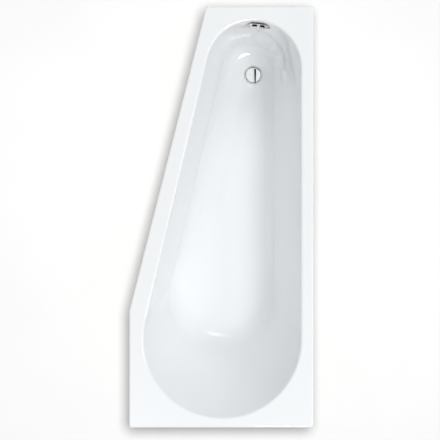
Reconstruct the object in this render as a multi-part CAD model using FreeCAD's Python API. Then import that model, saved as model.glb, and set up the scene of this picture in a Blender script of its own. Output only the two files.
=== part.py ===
import FreeCAD, Part
import math
import os

from FreeCAD import Placement, Rotation, Vector

# Rim outline: straight on the wall side, slanted on the room side towards the narrow foot end
tub_length = 1600.0
tub_width = 700.0
foot_end_width = 408.0
straight_flank = 445.0
rim_corner = 10.0

# Rim section: flat rim, down-turned lip, rounded edges
tub_height = 590.0
shell_wall = 5.0
lip_depth = 40.0
rim_edge_round = 6.0
rim_fillet = 12.0

# Basin opening: rim widths and the two round ends
wall_side_rim = 47.0
foot_end_rim = 53.0
head_end_rim = 34.0
foot_radius = 180.0
head_radius = 300.0

# Basin depth, and for each wall how far it leans in and its fillet to the floor
basin_depth = 420.0
wall_side_run = 95.0
wall_side_fillet = 45.0
flank_run = 60.0
flank_fillet = 60.0
foot_run = 45.0
foot_fillet = 70.0
back_run = 264.0
back_fillet = 110.0
floor_steps = 6
rim_steps = 4

# Clearances: turning fits, loose fits between parts, and standing gaps
turning_clearance = 0.05
loose_clearance = 0.3
standing_gap = 0.5

# Drain seat pressed into the floor
drain_from_wall_line = 171.0
drain_from_foot_line = 161.0
drain_hole_radius = 26.0
drain_seat_radius = 38.0
drain_seat_depth = 4.0

# Overflow seat pressed into the foot wall
overflow_depth = 58.0
overflow_hole_radius = 26.0
overflow_seat_radius = 46.0

# Base board under the floor
board_thickness = 16.0
board_margin = 8.0
board_to_drain = 60.0

# Rails under the board: inverted steel channels
rail_width = 40.0
rail_height = 25.0
rail_wall = 2.5
rail_end = 25.0
head_rail_from_head_line = 436.0
head_rail_from_wall_line = 303.0
head_foot_spacing = 380.0
foot_rail_to_drain = 206.0
foot_rail_beside_drain = 32.0
foot_foot_spacing = 220.0

# Rail screws, four to a rail
screw_radius = 2.5
screw_head_radius = 5.0
screw_head_height = 2.5
screw_bite = 13.0
head_screw_pitch = 62.0
foot_screw_pitch = 36.0

# Levelling feet
spindle_radius = 5.0
nut_flats = 17.0
nut_height = 8.0
pad_radius = 25.0
pad_height = 14.0
pad_round = 4.0
pad_socket_depth = 8.0
spindle_hex_height = 8.0
spindle_below_rail_top = 1.0

# Drain flange, seals and plug
drain_seal_thickness = 1.2
drain_seal_inner = 27.0
drain_seal_outer = 35.0
flange_radius = 36.0
flange_thickness = 3.0
throat_outer = 25.0
throat_inner = 22.5
throat_length = 35.0
strainer_arms = 4
strainer_arm_width = 3.0
strainer_height = 8.0
strainer_drop = 14.0
guide_radius = 7.0
stem_radius = 3.0
plug_radius = 32.5
plug_edge = 1.6
plug_dome = 5.0
plug_boss_radius = 20.0
plug_boss_height = 6.0
plug_seal_thickness = 2.2
valve_seat_top = 31.0
valve_seat_low = 26.0
lower_seal_thickness = 3.0

# Drain body: clamping flange, chamber, side port and dip tube
body_flange_radius = 38.0
body_flange_thickness = 5.0
chamber_outer = 33.0
chamber_wall = 3.5
chamber_height = 38.0
collar_height = 12.0
collar_radius = 31.0
dip_outer = 24.0
dip_wall = 3.0
dip_above_trap_floor = 10.0
trap_thread_radius = 30.0
trap_thread_height = 14.0

# Lift lever under the plug stem
lever_arm = 20.0
lever_nose_radius = 3.0
lever_width = 8.0
lever_thickness = 4.0
lever_hub_radius = 5.0
lever_tail = 9.0
lever_pin_radius = 2.0
pin_bite = 3.0
lever_pivot_out = 18.0

# Hose from the overflow to the drain
port_inner = 11.0
port_outer = 13.9
port_length = 22.0
hose_bore = 14.0
hose_radius = 17.0
hose_valley = 15.4
hose_bend = 45.0
hose_cuff = 34.0
rib_pitch = 8.0
hose_nut_outer = 21.5
hose_nut_length = 18.0

# Overflow body behind the foot wall
overflow_seal_inner = 27.0
overflow_seal_outer = 36.0
overflow_seal_thickness = 3.0
overflow_body_flange = 37.0
overflow_body_radius = 33.0
overflow_body_wall = 3.0
overflow_body_depth = 36.0
bush_radius = 8.0
bush_length = 25.0
port_from_seal = 21.0
overflow_screw_radius = 2.0
overflow_screw_head = 4.0
overflow_screw_circle = 23.0
overflow_boss_radius = 4.5
clamp_ring_inner = 19.0
clamp_ring_outer = 35.0
clamp_ring_thickness = 2.5

# Overflow knob, its shaft and crank
rosette_radius = 39.0
rosette_stand_off = 8.5
rosette_edge = 2.5
hub_radius = 28.5
hub_height = 9.0
fin_width = 6.5
fin_length = 50.0
fin_height = 12.0
fin_corner = 5.0
shaft_radius = 4.0
shaft_in_knob = 6.0
crank_arm = 13.0
crank_hub_radius = 7.0
crank_tip_radius = 3.5
crank_thickness = 5.0

# Control cable
cable_radius = 3.0
cable_side = 28.0
cable_boss_radius = 5.0
cable_boss_length = 6.0
ferrule_radius = 4.0
ferrule_length = 10.0

# Trap under the drain
trap_radius = 46.0
trap_wall = 3.0
trap_height = 62.0
neck_height = 12.5
trap_seal_thickness = 3.0
neck_radius = 29.5
neck_flange_radius = 33.0
neck_flange_height = 5.0
union_wall = 3.7
union_lip = 3.2
union_ribs = 16
union_rib_height = 1.2

# Outlet of the trap, towards the wall side
outlet_above_trap_floor = 38.0
outlet_inner = 15.0
outlet_outer = 18.0
outlet_length = 24.0
outlet_flange_radius = 23.0
outlet_flange_thickness = 4.0
outlet_seal_thickness = 2.5
pipe_radius = 20.0
pipe_wall = 2.5
pipe_collar_length = 12.0
pipe_end_from_rim = 15.0

# Places worked out from the sizes above
wall_line = tub_width / 2 - wall_side_rim
foot_line = tub_length / 2 - foot_end_rim
head_line = head_end_rim - tub_length / 2
centre_span = (foot_line - foot_radius) - (head_line + head_radius)
taper = 2 * math.atan((head_radius - foot_radius) / centre_span)
foot_centre = Vector(wall_line - foot_radius, foot_line - foot_radius, 0)
flank_line = foot_radius - math.cos(taper) * foot_centre.x + math.sin(taper) * foot_centre.y
floor_z = tub_height - basin_depth
underside_z = floor_z - shell_wall
rail_top_z = underside_z - board_thickness
web_z = rail_top_z - rail_wall

wall_side = (wall_side_run, wall_side_fillet)
flank = (flank_run, flank_fillet)
foot_wall = (foot_run, foot_fillet)
backrest = (back_run, back_fillet)

up = Vector(0, 0, 1)
drain_place = Vector(wall_line - drain_from_wall_line, foot_line - drain_from_foot_line, 0)
seat_z = floor_z - drain_seat_depth
body_top_z = seat_z - shell_wall - lower_seal_thickness
chamber_top_z = body_top_z - body_flange_thickness - collar_height
chamber_bottom_z = chamber_top_z - chamber_height
chamber_inner = chamber_outer - chamber_wall
port_z = chamber_top_z - chamber_height / 2
thread_bottom_z = chamber_bottom_z - chamber_wall - trap_thread_height
neck_top_z = thread_bottom_z - trap_seal_thickness
trap_top_z = neck_top_z - neck_height
trap_bottom_z = trap_top_z - trap_height
dip_bottom_z = trap_bottom_z + dip_above_trap_floor
flange_base_z = seat_z + drain_seal_thickness
plug_base_z = flange_base_z + flange_thickness + loose_clearance
guide_top_z = flange_base_z - strainer_drop
lever_pivot_z = chamber_bottom_z + lever_tail + loose_clearance + lever_hub_radius
stem_bottom_z = lever_pivot_z + lever_nose_radius + standing_gap

# Overflow frame: local X sideways, local Y up, local Z into the basin
outward = Vector(math.sin(taper / 2), math.cos(taper / 2), 0)
sideways = Vector(outward.y, -outward.x, 0)
overflow_centre = foot_centre + outward * foot_radius + up * (tub_height - overflow_depth)
overflow_frame = Placement(overflow_centre, Rotation(sideways, up, outward * -1, "ZYX"))
seal_back = -shell_wall - overflow_seal_thickness
body_back = seal_back - overflow_body_depth

# Hose and cable planes, seen from the drain
hose_top = overflow_centre - outward * (seal_back - port_from_seal)
hose_run = Vector(hose_top.x - drain_place.x, hose_top.y - drain_place.y, 0)
hose_way = Vector(hose_run).normalize()
hose_side = Vector(hose_way.y, -hose_way.x, 0)
cable_top = hose_top + sideways * cable_side
cable_foot = drain_place + hose_side * cable_side
cable_run = Vector(cable_top.x - cable_foot.x, cable_top.y - cable_foot.y, 0)
cable_way = Vector(cable_run).normalize()
cable_boss_reach = math.sqrt(chamber_outer ** 2 - cable_side ** 2) + cable_boss_length
overflow_boss_reach = math.sqrt(overflow_body_radius ** 2 - cable_side ** 2) + cable_boss_length
cable_start = cable_foot + up * port_z + cable_way * cable_boss_reach
cable_end_z = overflow_centre.z - overflow_boss_reach
hose_start = drain_place + up * port_z + hose_way * (chamber_outer + loose_clearance)
hose_end_z = overflow_centre.z - overflow_body_flange - loose_clearance
lever_pivot = drain_place + hose_way * lever_pivot_out + up * lever_pivot_z

# Outlet of the trap, and the rails on either side of the basin's middle
outlet_way = Vector(1, 0, 0)
outlet_start = drain_place + up * (trap_bottom_z + outlet_above_trap_floor)
outlet_face = outlet_start + outlet_way * (trap_radius + outlet_length)
pipe_start = outlet_face + outlet_way * outlet_seal_thickness
head_rail_middle = Vector(wall_line - head_rail_from_wall_line, head_line + head_rail_from_head_line, 0)
foot_rail_middle = drain_place - Vector(foot_rail_beside_drain, foot_rail_to_drain, 0)


# Shared shapes

def turned(profile, base=Vector(), axis=up):
    """Solid of revolution of a closed (radius, height) outline about an axis through base."""
    points = [Vector(radius, 0, height) for radius, height in profile]
    face = Part.Face(Part.makePolygon(points + points[:1]))
    solid = face.revolve(Vector(), up, 360)
    solid.Placement = Placement(base, Rotation(up, axis))
    return solid


def ring(inner, outer, low, high, base=Vector(), axis=up):
    return turned([(inner, low), (outer, low), (outer, high), (inner, high)], base, axis)


def rod(radius, start, end):
    return Part.makeCylinder(radius, (end - start).Length, start, end - start)


def rounded_outline(corners, radius):
    """Closed wire through the corners, each one rounded by a tangent arc."""
    arcs = []
    for index, corner in enumerate(corners):
        back = (corners[index - 1] - corner).normalize()
        ahead = (corners[(index + 1) % len(corners)] - corner).normalize()
        half = back.getAngle(ahead) / 2
        inward = (back + ahead).normalize()
        reach = radius / math.tan(half)
        middle = corner + inward * (radius / math.sin(half) - radius)
        arcs.append((corner + back * reach, middle, corner + ahead * reach))
    edges = []
    for index, (start, middle, end) in enumerate(arcs):
        edges.append(Part.makeLine(arcs[index - 1][2], start))
        edges.append(Part.Arc(start, middle, end).toShape())
    return Part.Wire(edges)


def hexagon(flats, base, height):
    corner = flats / math.sqrt(3)
    turns = [math.radians(60 * index) for index in range(6)]
    points = [base + Vector(corner * math.cos(a), corner * math.sin(a), 0) for a in turns]
    return Part.Face(Part.makePolygon(points + points[:1])).extrude(up * height)


def grip_ribs(radius, low, high, base, axis):
    """Ribs round the outside of a union nut."""
    ribs = []
    for index in range(union_ribs):
        rib = rod(union_rib_height, Vector(radius, 0, low), Vector(radius, 0, high))
        rib.rotate(Vector(), up, 360 * index / union_ribs)
        rib.Placement = Placement(base, Rotation(up, axis)).multiply(rib.Placement)
        ribs.append(rib)
    return ribs


# Tub shell

def inset(side, height, grow):
    """How far a wall stands in from its rim line at a height above the floor."""
    run, fillet = side
    lean = math.atan2(run, basin_depth)
    sweep = math.tan((math.pi / 2 - lean) / 2)
    low = fillet + grow
    high = rim_fillet - grow
    if height < fillet - low * math.sin(lean):
        return run + fillet * sweep - math.sqrt(max(0, low ** 2 - (fillet - height) ** 2))
    above = height - basin_depth + rim_fillet
    if above > high * math.sin(lean):
        return math.sqrt(max(0, high ** 2 - above ** 2)) - rim_fillet * sweep
    return run * (1 - height / basin_depth) - grow / math.cos(lean)


def wedge_ring(right, left, foot, head, z):
    """Outline of two circles joined by their outer tangents, from its four side lines."""
    reach = left + math.cos(taper) * right
    foot_r = (reach - foot * math.sin(taper)) / (1 + math.cos(taper) - math.sin(taper))
    head_r = (reach - head * math.sin(taper)) / (1 + math.cos(taper) + math.sin(taper))
    foot_y = foot - foot_r
    head_y = head + head_r

    def on(radius, y, angle):
        return Vector(right + radius * (math.cos(angle) - 1), y + radius * math.sin(angle), z)

    def arc(radius, y, start, end):
        points = [on(radius, y, angle) for angle in (start, (start + end) / 2, end)]
        return Part.Arc(*points).toShape()

    left_turn = math.pi - taper
    foot_mid = left_turn / 2
    head_mid = foot_mid + math.pi
    full = 2 * math.pi
    return Part.Wire([
        Part.makeLine(on(head_r, head_y, 0), on(foot_r, foot_y, 0)),
        arc(foot_r, foot_y, 0, foot_mid),
        arc(foot_r, foot_y, foot_mid, left_turn),
        Part.makeLine(on(foot_r, foot_y, left_turn), on(head_r, head_y, left_turn)),
        arc(head_r, head_y, left_turn, head_mid),
        arc(head_r, head_y, head_mid, full),
    ])


def basin_ring(height, grow):
    return wedge_ring(wall_line - inset(wall_side, height, grow),
                      flank_line - inset(flank, height, grow),
                      foot_line - inset(foot_wall, height, grow),
                      head_line + inset(backrest, height, grow),
                      floor_z + height)


def basin(grow):
    """Basin volume, or its outer skin when grown by the wall: floor fillet, walls, rim rounding."""
    leans = [(side[1], math.sin(math.atan2(side[0], basin_depth)))
             for side in (wall_side, flank, foot_wall, backrest)]
    fillet_top = max(fillet - (fillet + grow) * lean for fillet, lean in leans)
    rim_low = min(basin_depth - rim_fillet + (rim_fillet - grow) * lean for fillet, lean in leans)
    rim_high = basin_depth - grow
    quarter = math.pi / 2
    low_levels = [-grow + (fillet_top + grow) * (1 - math.cos(quarter * step / floor_steps))
                  for step in range(floor_steps + 1)]
    high_levels = [rim_low + (rim_high - rim_low) * math.sin(quarter * step / rim_steps)
                   for step in range(rim_steps + 1)]
    zones = []
    for levels, ruled in ((low_levels, False), ((fillet_top, rim_low), True), (high_levels, False)):
        zones.append(Part.makeLoft([basin_ring(level, grow) for level in levels], True, ruled))
    return zones[0].fuse(zones[1:])


def rim():
    """Flat rim with its down-turned lip, open below."""
    half_width = tub_width / 2
    half_length = tub_length / 2
    corners = [Vector(half_width, half_length, 0),
               Vector(half_width - foot_end_width, half_length, 0),
               Vector(-half_width, straight_flank - half_length, 0),
               Vector(-half_width, -half_length, 0),
               Vector(half_width, -half_length, 0)]
    outline = rounded_outline(corners, rim_corner)
    outline.translate(up * (tub_height - lip_depth))
    block = Part.Face(outline).extrude(up * lip_depth)
    top_edges = [edge for edge in block.Edges if edge.BoundBox.ZMin > tub_height - lip_depth / 2]
    block = block.makeFillet(rim_edge_round, top_edges)
    hollow = Part.Face(outline.makeOffset2D(-shell_wall)).extrude(up * (lip_depth - shell_wall))
    return block.cut(hollow)


def overflow_seat(grow):
    """Flat round seat for the overflow in the foot wall."""
    start = overflow_centre - outward * foot_radius
    return rod(overflow_seat_radius + grow, start, overflow_centre + outward * grow)


def drain_seat(grow):
    return rod(drain_seat_radius + grow,
               drain_place + up * (seat_z - grow), drain_place + up * (floor_z + grow))


def tub_shell():
    skin = rim().fuse([basin(shell_wall), overflow_seat(shell_wall), drain_seat(shell_wall)])
    hollow = basin(0).fuse([overflow_seat(0), drain_seat(0)])
    drain_hole = rod(drain_hole_radius, drain_place, drain_place + up * floor_z)
    overflow_hole = rod(overflow_hole_radius, overflow_centre, overflow_centre + outward * foot_radius)
    overflow_hole = overflow_hole.common(basin(shell_wall).fuse(overflow_seat(shell_wall)))
    return skin.cut([hollow, drain_hole, overflow_hole]).removeSplitter()


# Base board and rails

def along_rail(middle, pitch, steps):
    return [middle + Vector(pitch * step, 0, 0) for step in steps]


head_feet = along_rail(head_rail_middle, head_foot_spacing, (-0.5, 0.5))
foot_feet = along_rail(foot_rail_middle, foot_foot_spacing, (-0.5, 0.5))
head_screws = along_rail(head_rail_middle, head_screw_pitch, (-1.5, -0.5, 0.5, 1.5))
foot_screws = along_rail(foot_rail_middle, foot_screw_pitch, (-1.5, -0.5, 0.5, 1.5))


def base_board():
    outline = wedge_ring(wall_line - inset(wall_side, 0, 0) - board_margin,
                         flank_line - inset(flank, 0, 0) - board_margin,
                         drain_place.y - board_to_drain,
                         head_line + inset(backrest, 0, 0) + board_margin,
                         rail_top_z)
    board = Part.Face(outline).extrude(up * board_thickness)
    holes = [rod(screw_radius + turning_clearance, place + up * rail_top_z,
                 place + up * (rail_top_z + screw_bite)) for place in head_screws + foot_screws]
    return board.cut(holes)


def rail(feet, screws):
    length = feet[1].x - feet[0].x + 2 * rail_end
    corner = feet[0] + Vector(-rail_end, -rail_width / 2, rail_top_z - rail_height)
    channel = Part.makeBox(length, rail_width, rail_height, corner)
    inside = Part.makeBox(length, rail_width - 2 * rail_wall, rail_height - rail_wall,
                          corner + Vector(0, rail_wall, 0))
    holes = [rod(spindle_radius + standing_gap, foot, foot + up * rail_top_z) for foot in feet]
    holes += [rod(screw_radius + loose_clearance, place, place + up * rail_top_z) for place in screws]
    return channel.cut([inside] + holes)


def rail_screw(place):
    head_z = web_z - screw_head_height
    return turned([(0, head_z), (screw_head_radius / 2, head_z), (screw_head_radius, web_z),
                   (screw_radius, web_z), (screw_radius, rail_top_z + screw_bite - screw_radius),
                   (0, rail_top_z + screw_bite)], place)


def foot_nut(foot, top_z):
    nut = hexagon(nut_flats, foot + up * (top_z - nut_height), nut_height)
    return nut.cut(rod(spindle_radius + turning_clearance, foot, foot + up * top_z))


# Levelling feet

def foot_spindle(foot):
    socket_z = pad_height - pad_socket_depth
    top_z = rail_top_z - spindle_below_rail_top
    tip = spindle_radius / 4
    screw = turned([(0, socket_z), (spindle_radius, socket_z), (spindle_radius, top_z - tip),
                    (spindle_radius - tip, top_z), (0, top_z)], foot)
    return screw.fuse(hexagon(nut_flats, foot + up * pad_height, spindle_hex_height))


def foot_pad(foot):
    socket = spindle_radius + turning_clearance
    socket_z = pad_height - pad_socket_depth
    neck = (pad_radius + socket) / 2
    return turned([(0, 0), (pad_radius, 0), (pad_radius, pad_round), (neck, pad_height - pad_round),
                   (neck, pad_height), (socket, pad_height), (socket, socket_z), (0, socket_z)], foot)


# Drain

def drain_flange():
    """Ring in the floor with its threaded throat and the strainer that guides the plug stem."""
    top_z = flange_base_z + flange_thickness
    low_z = flange_base_z - throat_length
    body = turned([(throat_inner, low_z), (throat_outer, low_z), (throat_outer, flange_base_z),
                   (flange_radius, flange_base_z), (flange_radius, top_z - flange_thickness / 2),
                   (flange_radius - flange_thickness / 2, top_z), (valve_seat_top, top_z),
                   (valve_seat_low, flange_base_z), (throat_inner, flange_base_z - flange_thickness)],
                  drain_place)
    reach = (throat_inner + throat_outer) / 2
    guide_z = guide_top_z - strainer_height
    arms = []
    for index in range(strainer_arms):
        arm = Part.makeBox(reach, strainer_arm_width, strainer_height,
                           Vector(0, -strainer_arm_width / 2, guide_z))
        arm.rotate(Vector(), up, 360 * index / strainer_arms)
        arm.translate(drain_place)
        arms.append(arm)
    guide = ring(0, guide_radius, guide_z, guide_top_z, drain_place)
    bore = rod(stem_radius + turning_clearance, drain_place, drain_place + up * top_z)
    return body.fuse(arms + [guide]).cut(bore)


def plug_cap():
    """Domed chrome lid with the boss that carries the seal and the stem."""
    boss_z = plug_base_z - plug_boss_height
    edge_z = plug_base_z + plug_edge
    socket = stem_radius + turning_clearance
    profile = [(plug_radius, plug_base_z), (plug_radius, edge_z), (0, edge_z + plug_dome),
               (0, plug_base_z), (socket, plug_base_z), (socket, boss_z), (plug_boss_radius, boss_z),
               (plug_boss_radius, plug_base_z)]
    points = [Vector(radius, 0, z) for radius, z in profile]
    sphere = (plug_radius ** 2 + plug_dome ** 2) / (2 * plug_dome)
    half_turn = math.asin(plug_radius / sphere) / 2
    crown = Vector(sphere * math.sin(half_turn), 0,
                   edge_z + plug_dome - sphere * (1 - math.cos(half_turn)))
    edges = [Part.makeLine(points[0], points[1]), Part.Arc(points[1], crown, points[2]).toShape()]
    for start, end in zip(points[2:], points[3:] + points[:1]):
        edges.append(Part.makeLine(start, end))
    cap = Part.Face(Part.Wire(edges)).revolve(Vector(), up, 360)
    cap.translate(drain_place)
    return cap


def plug_seal():
    top_z = plug_base_z - standing_gap
    low_z = top_z - plug_seal_thickness
    slope = (valve_seat_top - valve_seat_low) / flange_thickness
    seat_at_top = valve_seat_top - slope * (flange_base_z + flange_thickness - top_z)
    outer = seat_at_top - standing_gap
    inner = plug_boss_radius + turning_clearance
    return turned([(inner, low_z), (outer - slope * plug_seal_thickness, low_z),
                   (outer, top_z), (inner, top_z)], drain_place)


def plug_stem():
    return rod(stem_radius, drain_place + up * stem_bottom_z, drain_place + up * plug_base_z)


def drain_body():
    """Clamping flange, valve chamber with the hose port, and the dip tube into the trap."""
    neck = throat_outer + turning_clearance
    collar_z = body_top_z - body_flange_thickness
    floor = chamber_bottom_z - chamber_wall
    dip_inner = dip_outer - dip_wall
    body = turned([(neck, body_top_z), (body_flange_radius, body_top_z), (body_flange_radius, collar_z),
                   (collar_radius, collar_z), (collar_radius, chamber_top_z + chamber_wall),
                   (chamber_outer, chamber_top_z + chamber_wall), (chamber_outer, floor),
                   (trap_thread_radius, floor), (trap_thread_radius, thread_bottom_z),
                   (dip_outer, thread_bottom_z), (dip_outer, dip_bottom_z), (dip_inner, dip_bottom_z),
                   (dip_inner, chamber_bottom_z), (chamber_inner, chamber_bottom_z),
                   (chamber_inner, chamber_top_z), (neck, chamber_top_z)], drain_place)
    axis = drain_place + up * port_z
    port_end = axis + hose_way * (chamber_outer + port_length)
    boss_start = cable_foot + up * port_z
    boss = rod(cable_boss_radius, boss_start, boss_start + cable_way * cable_boss_reach)
    inside = ring(0, chamber_inner, chamber_bottom_z, chamber_top_z, drain_place)
    outside = rod(port_outer, axis, port_end).fuse(boss).cut(inside)
    port_bore = rod(port_inner, axis, port_end)
    pin_hole = lever_pin_rod(lever_pin_radius + turning_clearance / 2)
    return body.fuse(outside).cut([port_bore, pin_hole])


# Lift lever

def lever_pin_rod(radius):
    half = math.sqrt(chamber_inner ** 2 - lever_pivot_out ** 2) + pin_bite
    return rod(radius, lever_pivot - hose_side * half, lever_pivot + hose_side * half)


def lift_lever():
    """Bell crank: its nose lifts the plug stem, its tail is pulled by the cable."""
    half = hose_side * (lever_width / 2)
    nose = lever_pivot - hose_way * lever_arm
    tail = lever_pivot - up * lever_tail

    def bar(start, end, thickness):
        way = (end - start).normalize()
        across = way.cross(hose_side) * (thickness / 2)
        corners = [start + across, end + across, end - across, start - across]
        face = Part.Face(Part.makePolygon([corner - half for corner in corners + corners[:1]]))
        return face.extrude(half * 2)

    hub = rod(lever_hub_radius, lever_pivot - half, lever_pivot + half)
    tip = rod(lever_nose_radius, nose - half, nose + half)
    end = rod(lever_thickness, tail - half, tail + half)
    lever = hub.fuse([tip, end, bar(lever_pivot, nose, lever_thickness),
                      bar(lever_pivot, tail, lever_thickness)])
    return lever.cut(lever_pin_rod(lever_pin_radius + turning_clearance))


# Overflow

def in_wall(shape):
    """Moves a shape from the overflow frame into the tub."""
    shape.Placement = overflow_frame.multiply(shape.Placement)
    return shape


def overflow_screw_spots():
    return [Vector(overflow_screw_circle * side, 0, 0) for side in (-1, 1)]


def overflow_body():
    """Housing behind the wall with the shaft bush, two screw bosses, hose port and cable boss."""
    inner = overflow_body_radius - overflow_body_wall
    flange_back = seal_back - overflow_body_wall
    floor = body_back + overflow_body_wall
    bore = shaft_radius + turning_clearance
    cup = turned([(0, body_back), (overflow_body_radius, body_back), (overflow_body_radius, flange_back),
                  (overflow_body_flange, flange_back), (overflow_body_flange, seal_back),
                  (overflow_seal_inner, seal_back), (overflow_seal_inner, flange_back),
                  (inner, flange_back), (inner, floor), (bush_radius, floor),
                  (bush_radius, floor + bush_length), (bore, floor + bush_length), (bore, floor),
                  (0, floor)])
    port_at = Vector(0, 0, seal_back - port_from_seal)
    down = Vector(0, -1, 0)
    port_end = port_at + down * (overflow_body_radius + port_length)
    boss_at = port_at + Vector(cable_side, 0, 0)
    boss = rod(cable_boss_radius, boss_at, boss_at + down * overflow_boss_reach)
    inside = ring(0, inner, floor, seal_back)
    outside = rod(port_outer, port_at, port_end).fuse(boss).cut(inside)
    bosses = []
    holes = [rod(port_inner, port_at + down * bush_radius, port_end)]
    for spot in overflow_screw_spots():
        bosses.append(rod(overflow_boss_radius, spot + up * floor, spot + up * seal_back))
        holes.append(rod(overflow_screw_radius + turning_clearance, spot + up * floor, spot))
    return in_wall(cup.fuse([outside] + bosses).cut(holes))


def overflow_seal():
    return in_wall(ring(overflow_seal_inner, overflow_seal_outer, seal_back, -shell_wall))


def clamp_ring():
    plate = ring(clamp_ring_inner, clamp_ring_outer, 0, clamp_ring_thickness)
    hole = overflow_screw_radius + loose_clearance
    holes = [rod(hole, spot, spot + up * clamp_ring_thickness) for spot in overflow_screw_spots()]
    return in_wall(plate.cut(holes))


def overflow_screws():
    screws = []
    length = (overflow_body_depth + shell_wall) / 2
    head = overflow_screw_head / 2
    for spot in overflow_screw_spots():
        screw = turned([(0, -length), (overflow_screw_radius, -length),
                        (overflow_screw_radius, clamp_ring_thickness),
                        (overflow_screw_head, clamp_ring_thickness),
                        (overflow_screw_head, clamp_ring_thickness + head / 2),
                        (head, clamp_ring_thickness + head), (0, clamp_ring_thickness + head)], spot)
        screws.append(in_wall(screw))
    return Part.makeCompound(screws)


def overflow_knob():
    """Round chrome rosette with a raised hub and an upright grip fin."""
    back = rosette_stand_off
    edge = back + rosette_edge
    hub_top = edge + hub_height
    socket = shaft_radius + turning_clearance
    disc = turned([(0, back + shaft_in_knob), (socket, back + shaft_in_knob), (socket, back),
                   (rosette_radius - rosette_edge, back), (rosette_radius, edge - rosette_edge / 2),
                   (rosette_radius - rosette_edge / 2, edge),
                   (hub_radius + rosette_edge, edge + rosette_edge), (hub_radius, hub_top - rosette_edge),
                   (hub_radius - rosette_edge, hub_top), (0, hub_top)])
    half_length = fin_length / 2
    fin_top = hub_top + fin_height
    fin_foot = back + shaft_in_knob + standing_gap
    corners = [Vector(-fin_width / 2, -half_length, fin_foot), Vector(-fin_width / 2, half_length, fin_foot),
               Vector(-fin_width / 2, half_length - fin_corner / 2, fin_top),
               Vector(-fin_width / 2, fin_corner / 2 - half_length, fin_top)]
    fin = Part.Face(rounded_outline(corners, fin_corner)).extrude(Vector(fin_width, 0, 0))
    fin = fin.makeFillet(fin_width / 4, fin.Edges)
    return in_wall(disc.fuse(fin))


def knob_shaft():
    floor = body_back + overflow_body_wall
    tip = rosette_stand_off + shaft_in_knob
    return in_wall(rod(shaft_radius, Vector(0, 0, floor + standing_gap), Vector(0, 0, tip)))


def shaft_crank():
    """Crank arm on the shaft that pulls the cable."""
    low = body_back + overflow_body_wall + bush_length + standing_gap
    high = low + crank_thickness
    tip = Vector(0, crank_arm, 0)
    hub = ring(0, crank_hub_radius, low, high)
    end = ring(0, crank_tip_radius, low, high, tip)
    arm = Part.makeBox(2 * crank_tip_radius, crank_arm, crank_thickness, Vector(-crank_tip_radius, 0, low))
    bore = rod(shaft_radius + turning_clearance / 2, up * low, up * high)
    return in_wall(hub.fuse([end, arm]).cut(bore))


# Hose and cable between overflow and drain

def bend_path(start, way, run, bend, top_z):
    """Level run, a quarter bend and an upright run, as one wire."""
    turn = start + way * (run - bend)
    corner = start + way * run
    low = Vector(corner.x, corner.y, start.z + bend)
    middle = turn + way * (bend * math.sin(math.pi / 4)) + up * (bend * (1 - math.cos(math.pi / 4)))
    return [Part.makeLine(start, turn), Part.Arc(turn, middle, low).toShape(),
            Part.makeLine(low, Vector(corner.x, corner.y, top_z))]


hose_path = bend_path(hose_start, hose_way, hose_run.Length - chamber_outer - loose_clearance,
                      hose_bend, hose_end_z)


def on_path(path, distance):
    """Point and direction at a distance along a wire's edges."""
    for edge in path:
        if distance <= edge.Length or edge is path[-1]:
            spot = edge.getParameterByLength(min(distance, edge.Length))
            return edge.valueAt(spot), edge.tangentAt(spot)
        distance -= edge.Length


def hose_circle(distance, radius):
    point, way = on_path(hose_path, distance)
    circle = Part.Circle(point, way, radius)
    circle.XAxis = hose_side
    return Part.Wire(circle.toShape())


def overflow_hose():
    """Ribbed hose with plain cuffs at both ends."""
    length = sum(edge.Length for edge in hose_path)
    ribs = int((length - 2 * hose_cuff) / rib_pitch)
    pitch = (length - 2 * hose_cuff) / ribs
    sections = [hose_circle(0, hose_radius)]
    for rib in range(ribs):
        start = hose_cuff + pitch * rib
        for share, radius in ((0.1, hose_radius), (0.3, hose_valley), (0.6, hose_valley), (0.8, hose_radius)):
            sections.append(hose_circle(start + pitch * share, radius))
    sections.append(hose_circle(length, hose_radius))
    outside = Part.makeLoft(sections, True, True)
    bore = Part.Wire(hose_path).makePipe(Part.Face(hose_circle(0, hose_bore)))
    print("hose length", round(length, 1), "ribs", ribs)
    return outside.cut(bore)


def hose_nuts():
    """Union nuts that clamp the hose on the ports of drain and overflow."""
    nuts = []
    inner = hose_radius + turning_clearance
    top = Vector(hose_top.x, hose_top.y, hose_end_z)
    for base, axis in ((hose_start, hose_way), (top, up * -1)):
        nut = ring(inner, hose_nut_outer, 0, hose_nut_length, base, axis)
        nuts.append(nut.fuse(grip_ribs(hose_nut_outer, 0, hose_nut_length, base, axis)))
    return Part.makeCompound(nuts)


def cable_sheath():
    start = cable_start + cable_way * ferrule_length
    run = cable_run.Length - cable_boss_reach - ferrule_length
    path = bend_path(start, cable_way, run, hose_bend, cable_end_z - ferrule_length)
    print("cable length", round(sum(edge.Length for edge in path), 1))
    section = Part.Wire(Part.Circle(start, cable_way, cable_radius).toShape())
    return Part.Wire(path).makePipe(Part.Face(section))


def cable_ferrules():
    top = Vector(cable_top.x, cable_top.y, cable_end_z)
    return Part.makeCompound([rod(ferrule_radius, cable_start, cable_start + cable_way * ferrule_length),
                              rod(ferrule_radius, top - up * ferrule_length, top)])


# Trap

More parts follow.
